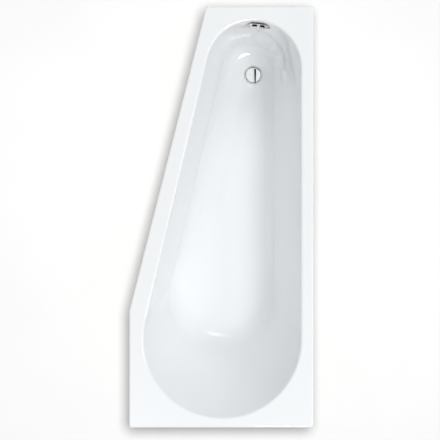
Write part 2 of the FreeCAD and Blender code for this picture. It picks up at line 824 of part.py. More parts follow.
def trap_body():
    """Flat bottle trap: can, neck for the union nut, and the outlet stub."""
    inner = trap_radius - trap_wall
    neck_inner = dip_outer + loose_clearance
    flange_z = neck_top_z - neck_flange_height
    can = turned([(0, trap_bottom_z), (trap_radius - trap_wall, trap_bottom_z),
                  (trap_radius, trap_bottom_z + trap_wall), (trap_radius, trap_top_z),
                  (neck_radius, trap_top_z), (neck_radius, flange_z), (neck_flange_radius, flange_z),
                  (neck_flange_radius, neck_top_z), (neck_inner, neck_top_z),
                  (neck_inner, trap_top_z - trap_wall), (inner, trap_top_z - trap_wall),
                  (inner, trap_bottom_z + trap_wall), (0, trap_bottom_z + trap_wall)], drain_place)
    stub = rod(outlet_outer, outlet_start, outlet_face)
    flange = rod(outlet_flange_radius, outlet_face - outlet_way * outlet_flange_thickness, outlet_face)
    inside = ring(0, inner, trap_bottom_z + trap_wall, trap_top_z - trap_wall, drain_place)
    bore = rod(outlet_inner, outlet_start + outlet_way * dip_outer, outlet_face)
    return can.fuse([stub.fuse(flange).cut(inside)]).cut(bore)


def trap_seal():
    return ring(dip_outer + turning_clearance, neck_radius, neck_top_z, thread_bottom_z, drain_place)


def trap_nut():
    flange_z = neck_top_z - neck_flange_height - loose_clearance
    low = flange_z - union_lip
    high = chamber_bottom_z - chamber_wall - loose_clearance
    step = thread_bottom_z + loose_clearance
    outer = neck_flange_radius + union_wall
    thread = trap_thread_radius + turning_clearance
    sleeve = neck_flange_radius + loose_clearance
    nut = turned([(neck_radius + loose_clearance, low), (outer, low), (outer, high), (thread, high),
                  (thread, step), (sleeve, step), (sleeve, flange_z),
                  (neck_radius + loose_clearance, flange_z)], drain_place)
    return nut.fuse(grip_ribs(outer, low, high, drain_place, up))


def outlet_seal():
    return ring(outlet_inner, outlet_flange_radius - loose_clearance, 0, outlet_seal_thickness,
                outlet_face, outlet_way)


def outlet_pipe():
    """Spigot that the house drain is pushed on, with the threaded collar for the union nut."""
    length = tub_width / 2 - pipe_end_from_rim - pipe_start.x
    bore = pipe_radius - pipe_wall
    return turned([(bore, 0), (outlet_flange_radius, 0), (outlet_flange_radius, pipe_collar_length),
                   (pipe_radius, pipe_collar_length), (pipe_radius, length), (bore, length)],
                  pipe_start, outlet_way)


def outlet_nut():
    back = -outlet_flange_thickness - loose_clearance
    low = back - union_lip
    high = outlet_seal_thickness + pipe_collar_length - standing_gap
    sleeve = outlet_flange_radius + turning_clearance
    outer = outlet_flange_radius + union_wall
    nut = turned([(outlet_outer + loose_clearance, low), (outer, low), (outer, high), (sleeve, high),
                  (sleeve, back), (outlet_outer + loose_clearance, back)], outlet_face, outlet_way)
    return nut.fuse(grip_ribs(outer, low, high, outlet_face, outlet_way))


# Assembly: one file for each piece

pieces = {
    "tub_shell": tub_shell(),
    "base_board": base_board(),
    "head_rail": rail(head_feet, head_screws),
    "foot_rail": rail(foot_feet, foot_screws),
    "rail_screws": Part.makeCompound([rail_screw(place) for place in head_screws + foot_screws]),
    "rail_nuts": Part.makeCompound([foot_nut(foot, web_z) for foot in head_feet + foot_feet]),
    "lock_nuts": Part.makeCompound([foot_nut(foot, web_z - nut_height) for foot in head_feet + foot_feet]),
    "drain_flange": drain_flange(),
    "drain_upper_seal": ring(drain_seal_inner, drain_seal_outer, seat_z, flange_base_z, drain_place),
    "drain_lower_seal": ring(drain_seal_inner, drain_seal_outer, body_top_z,
                             body_top_z + lower_seal_thickness, drain_place),
    "drain_body": drain_body(),
    "plug_cap": plug_cap(),
    "plug_seal": plug_seal(),
    "plug_stem": plug_stem(),
    "lift_lever": lift_lever(),
    "lever_pin": lever_pin_rod(lever_pin_radius),
    "overflow_body": overflow_body(),
    "overflow_seal": overflow_seal(),
    "overflow_clamp_ring": clamp_ring(),
    "overflow_screws": overflow_screws(),
    "overflow_knob": overflow_knob(),
    "knob_shaft": knob_shaft(),
    "shaft_crank": shaft_crank(),
    "overflow_hose": overflow_hose(),
    "hose_nuts": hose_nuts(),
    "cable_sheath": cable_sheath(),
    "cable_ferrules": cable_ferrules(),
    "trap_body": trap_body(),
    "trap_seal": trap_seal(),
    "trap_nut": trap_nut(),
    "outlet_seal": outlet_seal(),
    "outlet_pipe": outlet_pipe(),
    "outlet_nut": outlet_nut(),
}
foot_names = ("head_left", "head_right", "foot_left", "foot_right")
for name, foot in zip(foot_names, head_feet + foot_feet):
    pieces["spindle_" + name] = foot_spindle(foot)
    pieces["pad_" + name] = foot_pad(foot)

os.makedirs("parts", exist_ok=True)
for name, shape in pieces.items():
    shape.exportStep(os.path.join("parts", name + ".step"))
    print(name, len(shape.Solids), shape.isValid(), round(shape.Volume))
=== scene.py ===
import math

import bmesh
import bpy
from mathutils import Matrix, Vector


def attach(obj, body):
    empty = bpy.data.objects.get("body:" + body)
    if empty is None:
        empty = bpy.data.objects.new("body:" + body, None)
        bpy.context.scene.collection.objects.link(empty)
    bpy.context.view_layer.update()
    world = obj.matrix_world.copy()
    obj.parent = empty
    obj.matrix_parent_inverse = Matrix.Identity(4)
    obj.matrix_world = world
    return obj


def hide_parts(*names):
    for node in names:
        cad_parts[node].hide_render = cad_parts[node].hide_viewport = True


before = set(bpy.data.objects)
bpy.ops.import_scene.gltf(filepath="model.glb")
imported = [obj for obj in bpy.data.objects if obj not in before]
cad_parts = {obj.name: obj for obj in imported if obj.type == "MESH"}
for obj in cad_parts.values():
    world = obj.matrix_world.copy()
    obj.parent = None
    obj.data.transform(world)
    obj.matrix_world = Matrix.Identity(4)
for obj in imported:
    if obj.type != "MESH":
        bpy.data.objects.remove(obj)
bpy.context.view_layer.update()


# Tub shell.
# One white acrylic sheet, drawn over a tapering form and backed with sprayed glass fibre. The rim is
# flat with a down-turned lip, and round seats are pressed in for the drain and the overflow.

def only(*objects):
    """Selects just these objects, the first one active."""
    bpy.ops.object.select_all(action="DESELECT")
    for obj in objects:
        obj.select_set(True)
    bpy.context.view_layer.objects.active = objects[0]


def bake(obj, kind, **settings):
    """Adds a modifier with these settings and applies it."""
    only(obj)
    modifier = obj.modifiers.new(kind.title(), kind)
    for key, value in settings.items():
        setattr(modifier, key, value)
    bpy.ops.object.modifier_apply(modifier=modifier.name)


def closed_strip(name, loops):
    """A skin through closed loops of as many points each, made by extruding the first one."""
    bpy.ops.object.select_all(action="DESELECT")
    bpy.ops.mesh.primitive_circle_add(vertices=len(loops[0]), radius=1)
    obj = bpy.context.object
    obj.name = name
    order = obj.data.attributes.new("order", "INT", "POINT")
    order.data.foreach_set("value", range(len(loops[0])))
    bpy.ops.object.mode_set(mode="EDIT")
    bpy.ops.mesh.select_all(action="SELECT")
    for index, loop in enumerate(loops):
        if index:
            bpy.ops.mesh.extrude_edges_move()
        mesh = bmesh.from_edit_mesh(obj.data)
        layer = mesh.verts.layers.int["order"]
        for vert in mesh.verts:
            if vert.select:
                vert.co = loop[vert[layer]]
        bmesh.update_edit_mesh(obj.data)
    bpy.ops.object.mode_set(mode="OBJECT")
    return obj


def face_outwards():
    """Ends edit mode with all the faces of a closed mesh pointing outwards."""
    bpy.ops.mesh.select_all(action="SELECT")
    bpy.ops.mesh.normals_make_consistent(inside=False)
    bpy.ops.object.mode_set(mode="OBJECT")


def smooth(obj, degrees):
    """Shades a piece smooth, apart from edges sharper than an angle."""
    only(obj)
    bpy.ops.object.shade_smooth_by_angle(angle=math.radians(degrees))


rim_z = 0.590
floor_z = 0.170
basin_depth = rim_z - floor_z
shell_wall = 0.005
lip_depth = 0.040
rim_edge_round = 0.006
rim_fillet = 0.012
rim_corner = 0.010
rim_margin, lip_margin, floor_margin = 0.0015, 0.002, 0.0005
rim_corners = [Vector((0.350, 0.800)), Vector((-0.058, 0.800)), Vector((-0.350, -0.355)),
               Vector((-0.350, -0.800)), Vector((0.350, -0.800))]
wall_line, foot_line, head_line = 0.303, 0.747, -0.766
foot_radius, head_radius = 0.180, 0.300
centre_span = (foot_line - foot_radius) - (head_line + head_radius)
taper = 2 * math.atan((head_radius - foot_radius) / centre_span)
foot_centre = Vector((wall_line - foot_radius, foot_line - foot_radius, 0))
flank_line = foot_radius - math.cos(taper) * foot_centre.x + math.sin(taper) * foot_centre.y
wall_lean = {"wall": (0.095, 0.045), "flank": (0.060, 0.060),
             "foot": (0.045, 0.070), "back": (0.264, 0.110)}


def inset(side, height):
    """How far a wall, given by its run and its fillet, stands in from its rim line at a height."""
    run, fillet = wall_lean[side]
    lean = math.atan2(run, basin_depth)
    sweep = math.tan((math.pi / 2 - lean) / 2)
    if height < fillet * (1 - math.sin(lean)):
        return run + fillet * sweep - math.sqrt(max(0, fillet ** 2 - (fillet - height) ** 2))
    above = height - basin_depth + rim_fillet
    if above > rim_fillet * math.sin(lean):
        return math.sqrt(max(0, rim_fillet ** 2 - above ** 2)) - rim_fillet * sweep
    return run * (1 - height / basin_depth)


def basin_loop(height, widen=0.0):
    """The basin's outline at a height: two arcs joined by their outer tangents."""
    right = wall_line - inset("wall", height) + widen
    left = flank_line - inset("flank", height) + widen
    foot = foot_line - inset("foot", height) + widen
    head = head_line + inset("back", height) - widen
    reach = left + math.cos(taper) * right
    foot_r = (reach - foot * math.sin(taper)) / (1 + math.cos(taper) - math.sin(taper))
    head_r = (reach - head * math.sin(taper)) / (1 + math.cos(taper) + math.sin(taper))

    def on(radius, y, angle):
        x = right + radius * (math.cos(angle) - 1)
        return Vector((x, y + radius * math.sin(angle), floor_z + height))

    turn = math.pi - taper
    foot_arc = [on(foot_r, foot - foot_r, turn * step / 60) for step in range(61)]
    head_arc = [on(head_r, head + head_r, turn + (2 * math.pi - turn) * step / 68) for step in range(69)]
    flank_side = [foot_arc[-1].lerp(head_arc[0], step / 20) for step in range(1, 20)]
    wall_side = [head_arc[-1].lerp(foot_arc[0], step / 20) for step in range(1, 20)]
    return foot_arc + flank_side + head_arc + wall_side


def rim_loop(inward, z):
    """The rim's outer outline, drawn in by a distance, with its corners rounded."""
    points = []
    for index, corner in enumerate(rim_corners):
        back = (rim_corners[index - 1] - corner).normalized()
        ahead = (rim_corners[(index + 1) % len(rim_corners)] - corner).normalized()
        half = back.angle(ahead) / 2
        centre = corner + (back + ahead).normalized() * (rim_corner / math.sin(half))
        first = math.atan2(back.x, -back.y)
        for step in range(9):
            angle = first + (math.pi - 2 * half) * step / 8
            point = centre + Vector((math.cos(angle), math.sin(angle))) * (rim_corner - inward)
            points.append(Vector((point.x, point.y, z)))
    return points


fillet_top = 0.0626
wall_top = 0.405
levels = [basin_depth - rim_fillet * (1 - math.cos(math.radians(10 * step))) for step in range(9)]
levels += [wall_top + (fillet_top - wall_top) * step / 13 for step in range(13)]
levels += [fillet_top * (1 - math.cos(math.pi / 2 * step / 16)) for step in range(16, -1, -1)]
basin_loops = [basin_loop(basin_depth, rim_margin)] + [basin_loop(level) for level in levels]
tub = closed_strip("Tub_moulding", basin_loops + [basin_loop(0, -floor_margin)])

rim_loops = [rim_loop(rim_edge_round + rim_margin, rim_z)]
for step in range(9):
    angle = math.pi / 2 * step / 8
    inward = rim_edge_round * (1 - math.sin(angle))
    rim_loops.append(rim_loop(inward, rim_z - rim_edge_round * (1 - math.cos(angle))))
rim_loops += [rim_loop(0, rim_z - rim_edge_round - lip_margin), rim_loop(0, rim_z - lip_depth)]
lip = closed_strip("Lip", rim_loops)
only(tub, lip)
bpy.ops.object.join()


def pick_edges(obj, test):
    """Selects the edges of a mesh in edit mode that pass a test."""
    mesh = bmesh.from_edit_mesh(obj.data)
    bpy.ops.mesh.select_mode(type="EDGE")
    bpy.ops.mesh.select_all(action="DESELECT")
    for edge in mesh.edges:
        edge.select_set(test(edge))
    bmesh.update_edit_mesh(obj.data)


def level_with(edge, z):
    """Whether an edge lies at a height."""
    return all(abs(vert.co.z - z) < 1e-5 for vert in edge.verts)


bpy.ops.object.mode_set(mode="EDIT")
pick_edges(tub, lambda edge: edge.is_boundary and level_with(edge, rim_z))
bpy.ops.mesh.fill(use_beauty=True)
pick_edges(tub, lambda edge: edge.is_boundary and level_with(edge, floor_z))
bpy.ops.mesh.edge_face_add()
bpy.ops.mesh.select_all(action="SELECT")
bpy.ops.mesh.normals_make_consistent(inside=False)
if max(bmesh.from_edit_mesh(tub.data).faces, key=lambda face: face.calc_area()).normal.z < 0:
    bpy.ops.mesh.flip_normals()
bpy.ops.object.mode_set(mode="OBJECT")


def new_group(name, *numbers):
    """An empty node group of a surface: two tones, two levels of dullness and named numbers go in."""
    tree = bpy.data.node_groups.new(name, "ShaderNodeTree")
    for label in (*numbers, "Dark", "Light", "Low", "High"):
        kind = "NodeSocketColor" if label in ("Dark", "Light") else "NodeSocketFloat"
        tree.interface.new_socket(label, in_out="INPUT", socket_type=kind)
    for label in ("Color", "Roughness", "Height"):
        kind = "NodeSocketColor" if label == "Color" else "NodeSocketFloat"
        tree.interface.new_socket(label, in_out="OUTPUT", socket_type=kind)
    return tree, tree.nodes.new("NodeGroupInput").outputs, tree.nodes.new("NodeGroupOutput").inputs


def node(tree, kind, links=(), **settings):
    """A node with its settings, and links into its inputs given as pairs of input and source."""
    made = tree.nodes.new("ShaderNode" + kind)
    for key, value in settings.items():
        if hasattr(made, key):
            setattr(made, key, value)
        else:
            made.inputs[key.replace("_", " ")].default_value = value
    for entry, source in links:
        tree.links.new(source, made.inputs[entry])
    return made


def tones(tree, share, dark, light):
    """A colour between two tones."""
    mix = node(tree, "Mix", data_type="RGBA")
    tree.links.new(share, mix.inputs["Factor"])
    tree.links.new(dark, mix.inputs["A"])
    tree.links.new(light, mix.inputs["B"])
    return mix.outputs["Result"]


def spread(tree, given, result, pattern, low, high):
    """Lets a pattern, between two of its values, set a group's colour, roughness and height."""
    share = node(tree, "MapRange", [("Value", pattern)], From_Min=low, From_Max=high)
    dull = node(tree, "MapRange", [("Value", pattern), ("To Min", given["Low"]), ("To Max", given["High"])],
                From_Min=low, From_Max=high)
    tree.links.new(tones(tree, share.outputs["Result"], given["Dark"], given["Light"]), result["Color"])
    tree.links.new(dull.outputs["Result"], result["Roughness"])
    tree.links.new(share.outputs["Result"], result["Height"])


mottle, given, result = new_group("Mottle", "Scale")
place = node(mottle, "TexCoord")
cloud = node(mottle, "TexNoise", [("Vector", place.outputs["Object"]), ("Scale", given["Scale"])], Detail=4.0)
spread(mottle, given, result, cloud.outputs["Fac"], 0.3, 0.7)

strands, given, result = new_group("Strands")
place = node(strands, "TexCoord")
top = None
for step in range(5):
    turned = node(strands, "Mapping", [("Vector", place.outputs["Object"])], Scale=(600, 22, 600),
                  Rotation=(0.5 * step, 0.7 * step + 0.3, 1.26 * step))
    line = node(strands, "TexNoise", [("Vector", turned.outputs["Vector"])], Scale=1.0, Detail=1.0)
    if top is None:
        top = line.outputs["Fac"]
    else:
        higher = node(strands, "Math", [(0, top), (1, line.outputs["Fac"])], operation="MAXIMUM")
        top = higher.outputs["Value"]
spread(strands, given, result, top, 0.5, 0.85)


def dressed(name, source, dark, light, dull, relief=0.0, scale=None, **constants):
    """A material whose tones, dullness and relief (a depth in metres) come from a node group."""
    made = bpy.data.materials.new(name)
    made.use_nodes = True
    tree = made.node_tree
    shader = tree.nodes["Principled BSDF"]
    for key, value in constants.items():
        shader.inputs[key.replace("_", " ")].default_value = value
    effect = tree.nodes.new("ShaderNodeGroup")
    effect.node_tree = source
    effect.inputs["Dark"].default_value = (*dark, 1.0)
    effect.inputs["Light"].default_value = (*light, 1.0)
    effect.inputs["Low"].default_value, effect.inputs["High"].default_value = dull
    if scale:
        effect.inputs["Scale"].default_value = scale
    tree.links.new(effect.outputs["Color"], shader.inputs["Base Color"])
    tree.links.new(effect.outputs["Roughness"], shader.inputs["Roughness"])
    if relief:
        bump = node(tree, "Bump", [("Height", effect.outputs["Height"])], Distance=relief)
        tree.links.new(bump.outputs["Normal"], shader.inputs["Normal"])
    return made


acrylic = dressed("Acrylic", mottle, (0.855, 0.866, 0.875), (0.868, 0.876, 0.882), (0.04, 0.07),
                  scale=3.0, IOR=1.49)
fibre = dressed("Glass fibre backing", strands, (0.60, 0.57, 0.47), (0.78, 0.76, 0.68), (0.35, 0.6),
                relief=0.0004)

tub.data.materials.append(acrylic)
tub.data.materials.append(fibre)
bake(tub, "SOLIDIFY", thickness=shell_wall, offset=-1, use_even_offset=True, material_offset=1)


def give_skin(obj, finishes, skin):
    """Gives a cutter or boss the finishes of its piece, with all its faces in one material slot."""
    for finish in finishes:
        obj.data.materials.append(finish)
    obj.data.polygons.foreach_set("material_index", [skin] * len(obj.data.polygons))


def drum(start, end, radius, skin=0):
    """A round cutter or boss between two points, with the material slot of its faces."""
    bpy.ops.object.select_all(action="DESELECT")
    way = end - start
    bpy.ops.mesh.primitive_cylinder_add(vertices=128, radius=radius, depth=way.length,
                                        location=(start + end) / 2,
                                        rotation=way.to_track_quat("Z", "Y").to_euler())
    made = bpy.context.object
    bpy.ops.object.transform_apply(location=True, rotation=True, scale=True)
    give_skin(made, (acrylic, fibre), skin)
    return made


def combine(obj, other, operation):
    """Joins a piece with another or cuts it with it, and drops the other."""
    bake(obj, "BOOLEAN", object=other, operation=operation, solver="EXACT")
    bpy.data.objects.remove(other)


up = Vector((0, 0, 1))
drain = Vector((0.132, 0.586, 0))
drain_seat, overflow_seat, waste_hole = 0.038, 0.046, 0.026
seat_depth, seat_round = 0.004, 0.0008
seat_z = floor_z - seat_depth
cup_sink = 0.001
overflow_drop = 0.058
boss_length = 0.030
cut_before, cut_past, cut_across = 0.010, 0.020, 0.150
outward = Vector((math.sin(taper / 2), math.cos(taper / 2), 0))
overflow = foot_centre + outward * foot_radius + up * (rim_z - overflow_drop)
boss = drum(overflow - outward * boss_length, overflow + outward * shell_wall,
            overflow_seat + shell_wall, 1)
core_levels = (basin_depth, wall_top, fillet_top)
core = closed_strip("Core", [basin_loop(level, shell_wall / 2) for level in core_levels])
bpy.ops.object.mode_set(mode="EDIT")
for end_z in (rim_z, floor_z + fillet_top):
    pick_edges(core, lambda edge: edge.is_boundary and level_with(edge, end_z))
    bpy.ops.mesh.edge_face_add()
face_outwards()
combine(boss, core, "DIFFERENCE")
combine(tub, boss, "UNION")
combine(tub, drum(overflow - outward * cut_across, overflow, overflow_seat), "DIFFERENCE")
wall_hole = drum(overflow - outward * cut_before, overflow + outward * cut_past, waste_hole)
combine(tub, wall_hole, "DIFFERENCE")
cup = drum(drain + up * (seat_z - shell_wall), drain + up * (floor_z - cup_sink), drain_seat + shell_wall, 1)
combine(tub, cup, "UNION")
combine(tub, drum(drain + up * seat_z, drain + up * (floor_z + cut_past), drain_seat), "DIFFERENCE")
floor_hole = drum(drain + up * (seat_z - cut_past), drain + up * (seat_z + cut_before), waste_hole)
combine(tub, floor_hole, "DIFFERENCE")


def seat_edge(edge):
    """The edge between the floor and the drain seat."""
    reach = [(Vector((vert.co.x, vert.co.y, 0)) - drain).length for vert in edge.verts]
    return level_with(edge, floor_z) and all(abs(length - drain_seat) < 0.0004 for length in reach)


only(tub)
bpy.ops.object.mode_set(mode="EDIT")
bpy.ops.mesh.select_all(action="SELECT")
bpy.ops.mesh.remove_doubles(threshold=0.000005)
pick_edges(tub, seat_edge)
bpy.ops.mesh.bevel(offset=seat_round, segments=3, affect="EDGES")
face_outwards()
smooth(tub, 32)
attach(tub, "tub")
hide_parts("tub_shell")


# Base board.
# A raw chipboard panel, sawn to shape and laminated under the floor. It stiffens the floor and takes the
# screws of the rails.

def drawn(name, nodes, body, material, edge=0.0004):
    """A finished copy of drawn pieces: welded, flat faces joined, edges broken, shaded smooth."""
    copies = []
    for label in nodes:
        copy = bpy.data.objects.new(label + "_copy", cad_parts[label].data.copy())
        bpy.context.scene.collection.objects.link(copy)
        copies.append(copy)
    only(*copies)
    if len(copies) > 1:
        bpy.ops.object.join()
    made = bpy.context.object
    made.name = name
    made.data.materials.clear()
    made.data.materials.append(material)
    made.data.polygons.foreach_set("material_index", [0] * len(made.data.polygons))
    bpy.ops.mesh.customdata_custom_splitnormals_clear()
    bpy.ops.object.mode_set(mode="EDIT")
    bpy.ops.mesh.select_all(action="SELECT")
    bpy.ops.mesh.remove_doubles(threshold=0.000005)
    bpy.ops.mesh.dissolve_limited(angle_limit=math.radians(0.5))
    face_outwards()
    bake(made, "BEVEL", width=edge, segments=2, limit_method="ANGLE", angle_limit=math.radians(40))
    smooth(made, 35)
    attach(made, body)
    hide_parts(*nodes)
    return made


flakes, given, result = new_group("Flakes", "Scale")
place = node(flakes, "TexCoord")
long = node(flakes, "Mapping", [("Vector", place.outputs["Object"])],
            Scale=(1.0, 0.45, 1.6), Rotation=(0.2, 0.1, 0.6))
chip = node(flakes, "TexVoronoi", [("Vector", long.outputs["Vector"]), ("Scale", given["Scale"])])
tone = node(flakes, "SeparateColor", [("Color", chip.outputs["Color"])])
spread(flakes, given, result, tone.outputs["Red"], 0.0, 1.0)
flakes.links.new(chip.outputs["Distance"], result["Height"])

chipboard = dressed("Chipboard", flakes, (0.36, 0.25, 0.14), (0.66, 0.52, 0.34), (0.6, 0.8),
                    relief=0.0003, scale=160.0)
drawn("Board_panel", ["base_board"], "tub", chipboard, edge=0.0008)


# Rails, with their screws and nuts.
# Two zinc plated steel channels, folded from sheet and screwed up into the board. Each holds two welded nuts,
# and a lock nut runs under each of them.

zinc = dressed("Zinc plate", flakes, (0.52, 0.54, 0.57), (0.66, 0.67, 0.68), (0.28, 0.42),
               relief=0.00001, scale=90.0, Metallic=1.0)
bright_zinc = dressed("Bright zinc", mottle, (0.62, 0.63, 0.64), (0.74, 0.74, 0.74), (0.2, 0.32),
                      scale=300.0, Metallic=1.0)
drawn("Rail_channels", ["head_rail", "foot_rail"], "tub", zinc)
drawn("Rail_fasteners", ["rail_screws", "rail_nuts", "lock_nuts"], "tub", bright_zinc)


# Levelling feet.
# A threaded steel spindle with a hexagon for the spanner, screwed up through the nut in a rail and standing
# in a black moulded pad.

thread_outline = ((0.86, 0), (1, 0.42), (1, 0.58), (0.86, 1))


def thread(name, radius, pitch, low, high, centre):
    """A screw thread: one pitch of its outline, screwed up along its axis."""
    bpy.ops.object.select_all(action="DESELECT")
    bpy.ops.mesh.primitive_circle_add(vertices=4, radius=1)
    made = bpy.context.object
    made.name = name
    bpy.ops.object.mode_set(mode="EDIT")
    mesh = bmesh.from_edit_mesh(made.data)
    mesh.edges.ensure_lookup_table()
    gap = mesh.edges[-1]
    bpy.ops.mesh.select_mode(type="EDGE")
    bpy.ops.mesh.select_all(action="DESELECT")
    gap.select_set(True)
    bpy.ops.mesh.delete(type="EDGE_FACE")
    mesh = bmesh.from_edit_mesh(made.data)
    ends = [vert for vert in mesh.verts if len(vert.link_edges) == 1]
    walk = [ends[0]]
    while len(walk) < 4:
        walk.append([edge.other_vert(walk[-1]) for edge in walk[-1].link_edges
                     if edge.other_vert(walk[-1]) not in walk][0])
    for vert, (out, rise) in zip(walk, thread_outline):
        vert.co = Vector((radius * out, 0, pitch * rise))
    bmesh.update_edit_mesh(made.data)
    bpy.ops.object.mode_set(mode="OBJECT")
    bake(made, "SCREW", axis="Z", angle=2 * math.pi, screw_offset=pitch, steps=28, render_steps=28,
         iterations=int((high - low) / pitch) - 1, use_merge_vertices=True, merge_threshold=0.00001)
    bpy.ops.object.mode_set(mode="EDIT")
    pick_edges(made, lambda edge: edge.is_boundary)
    bpy.ops.mesh.edge_face_add()
    bpy.ops.mesh.select_all(action="SELECT")
    bpy.ops.transform.translate(value=centre + up * low)
    face_outwards()
    return made


black_plastic = dressed("Black polypropylene", mottle, (0.012, 0.012, 0.013), (0.022, 0.022, 0.023),
                        (0.42, 0.55), relief=0.00003, scale=900.0)
spindle_radius, spindle_pitch = 0.005, 0.0015
spindle_low, spindle_high = 0.008, 0.147
hexagon_ways = [Vector((math.cos(math.pi / 3 * step), math.sin(math.pi / 3 * step), 0)) for step in range(6)]
hexagon_outline = ((0.0040, 0.0142), (0.0088, 0.0142), (0.0098, 0.0148),
                   (0.0098, 0.0214), (0.0088, 0.0220), (0.0040, 0.0220))
feet = {"head_left": Vector((-0.190, -0.330, 0)), "head_right": Vector((0.190, -0.330, 0)),
        "foot_left": Vector((-0.010, 0.380, 0)), "foot_right": Vector((0.210, 0.380, 0))}
for label, centre in feet.items():
    screw = thread("Spindle_thread_" + label, spindle_radius, spindle_pitch,
                   spindle_low, spindle_high, centre)
    screw.data.materials.append(bright_zinc)
    smooth(screw, 40)
    loops = [[centre + up * z + way * radius for way in hexagon_ways] for radius, z in hexagon_outline]
    hexagon = closed_strip("Spindle_hexagon_" + label, loops)
    bpy.ops.object.mode_set(mode="EDIT")
    pick_edges(hexagon, lambda edge: edge.is_boundary)
    bpy.ops.mesh.edge_face_add()
    face_outwards()
    bake(hexagon, "BEVEL", width=0.0003, segments=2, limit_method="ANGLE", angle_limit=math.radians(30))
    hexagon.data.materials.append(bright_zinc)
    smooth(hexagon, 30)
    only(screw, hexagon)
    bpy.ops.object.join()
    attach(screw, "foot_" + label)
    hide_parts("spindle_" + label)
    drawn("Foot_pad_" + label, ["pad_" + label], "foot_" + label, black_plastic, edge=0.0012)


# Drain in the floor.
# A chrome plated ring with its strainer, clamped on the floor between two rubber seals, and a slightly
# domed chrome lid with a black rubber lip, pressed on a brass stem that the lever under it lifts. The black
# lip is partly a real lip and partly painted shade, standing in for the shaded gap between lid and ring.

chrome = dressed("Chrome plate", mottle, (0.78, 0.79, 0.80), (0.83, 0.835, 0.84), (0.02, 0.035),
                 scale=60.0, Metallic=1.0)
rubber = dressed("Black rubber", mottle, (0.010, 0.010, 0.010), (0.024, 0.024, 0.024), (0.55, 0.75),
                 relief=0.00004, scale=700.0)
brass = dressed("Turned brass", mottle, (0.66, 0.47, 0.20), (0.78, 0.60, 0.30), (0.18, 0.3),
                scale=200.0, Metallic=1.0)
ring = drawn("Drain_ring", ["drain_flange"], "tub", chrome, edge=0.0006)
drawn("Drain_seals", ["drain_upper_seal", "drain_lower_seal"], "tub", rubber)


def lathe(name, outline, base, axis=up, count=96):
    """A turned piece from its outline of radius and height, which starts and ends on the axis."""
    spin = axis.to_track_quat("Z", "Y")
    turns = [2 * math.pi * step / count for step in range(count)]
    loops = [[base + spin @ Vector((radius * math.cos(a), radius * math.sin(a), height)) for a in turns]
             for radius, height in outline]
    made = closed_strip(name, loops)
    bpy.ops.object.mode_set(mode="EDIT")
    for loop in (loops[0], loops[-1]):
        middle = sum(loop, Vector()) / count
        pick_edges(made, lambda edge: edge.is_boundary and
                   (edge.verts[0].co - middle).length < (loop[0] - middle).length * 1.01)
        bpy.ops.mesh.edge_face_add()
    face_outwards()
    smooth(made, 40)
    return made


plug_base = 0.1705
lid_top = plug_base + 0.0046
lid_radius = 0.0301
dome_radius = 0.260
dome = []
for share in (0.02, 0.15, 0.3, 0.45, 0.6, 0.72, 0.84, 0.93, 0.99, 1):
    reach = lid_radius * share
    dome.append((reach, lid_top - dome_radius + math.sqrt(dome_radius ** 2 - reach ** 2)))
side = [(0.0303, plug_base + 0.0027), (0.0305, plug_base + 0.0023), (0.0306, plug_base + 0.0018),
        (0.0306, plug_base + 0.0011)]
lip_outline = [(0.0321, plug_base + 0.0010), (0.0325, plug_base + 0.0006), (0.0325, plug_base + 0.0004),
               (0.0322, plug_base + 0.00005)]
under = [(0.0204, plug_base), (0.0200, plug_base - 0.0003), (0.0200, plug_base - 0.0055),
         (0.0196, plug_base - 0.006), (0.0031, plug_base - 0.006)]
lid = lathe("Plug_lid", dome + side + lip_outline + under, drain, count=128)
lid.data.materials.append(chrome)
lid.data.materials.append(rubber)
# The lip's faces outside the chrome take black rubber: partly a real lip, partly painted shade for the gap
# between lid and ring.
for face in lid.data.polygons:
    reach = (face.center - drain - up * face.center.z).length
    if reach > lid_radius + 0.0001 and face.center.z < plug_base + 0.00115:
        face.material_index = 1
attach(lid, "plug")
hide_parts("plug_cap")
drawn("Plug_gasket", ["plug_seal"], "plug", rubber, edge=0.0003)
drawn("Plug_rod", ["plug_stem"], "plug", brass)


# Drain body and lift lever under the floor.
# A white moulded chamber with the port for the hose and the dip tube into the trap, and a grey bell crank
# on a steel pin inside it.

white_plastic = dressed("White polypropylene", mottle, (0.70, 0.70, 0.68), (0.76, 0.76, 0.74), (0.34, 0.44),
                        relief=0.00002, scale=500.0)
grey_plastic = dressed("Grey polypropylene", mottle, (0.17, 0.175, 0.18), (0.21, 0.215, 0.22), (0.36, 0.48),
                       relief=0.00002, scale=500.0)
drawn("Drain_chamber", ["drain_body"], "tub", white_plastic, edge=0.0006)
drawn("Bell_crank", ["lift_lever"], "lever", grey_plastic)
drawn("Crank_pin", ["lever_pin"], "tub", bright_zinc)


# Overflow in the foot wall.
# A white housing behind the wall, clamped through it with two screws to a ring in front, and a chrome rosette
# with a grip fin between two finger recesses, pushed on a nickel plated brass shaft that turns a small crank.
# The recesses are lined in black plastic as painted shade.

drawn("Overflow_housing", ["overflow_body"], "tub", white_plastic, edge=0.0006)
drawn("Overflow_gasket", ["overflow_seal"], "tub", rubber)
drawn("Overflow_ring", ["overflow_clamp_ring"], "tub", white_plastic)
drawn("Overflow_fasteners", ["overflow_screws"], "tub", bright_zinc)


def block(place_corner, skin):
    """A block with its corners set from those of the unit cube, and the material slot of its faces."""
    bpy.ops.object.select_all(action="DESELECT")
    bpy.ops.mesh.primitive_cube_add(size=1)
    made = bpy.context.object
    bpy.ops.object.mode_set(mode="EDIT")
    mesh = bmesh.from_edit_mesh(made.data)
    for vert in mesh.verts:
        vert.co = place_corner(vert.co)
    bmesh.update_edit_mesh(made.data)
    face_outwards()
    give_skin(made, (chrome, black_plastic), skin)
    return made


def on_knob(x, y, z):
    """A point on the knob: across it, up, and out from the wall into the basin."""
    return overflow + Vector((outward.y, -outward.x, 0)) * x + up * y - outward * z


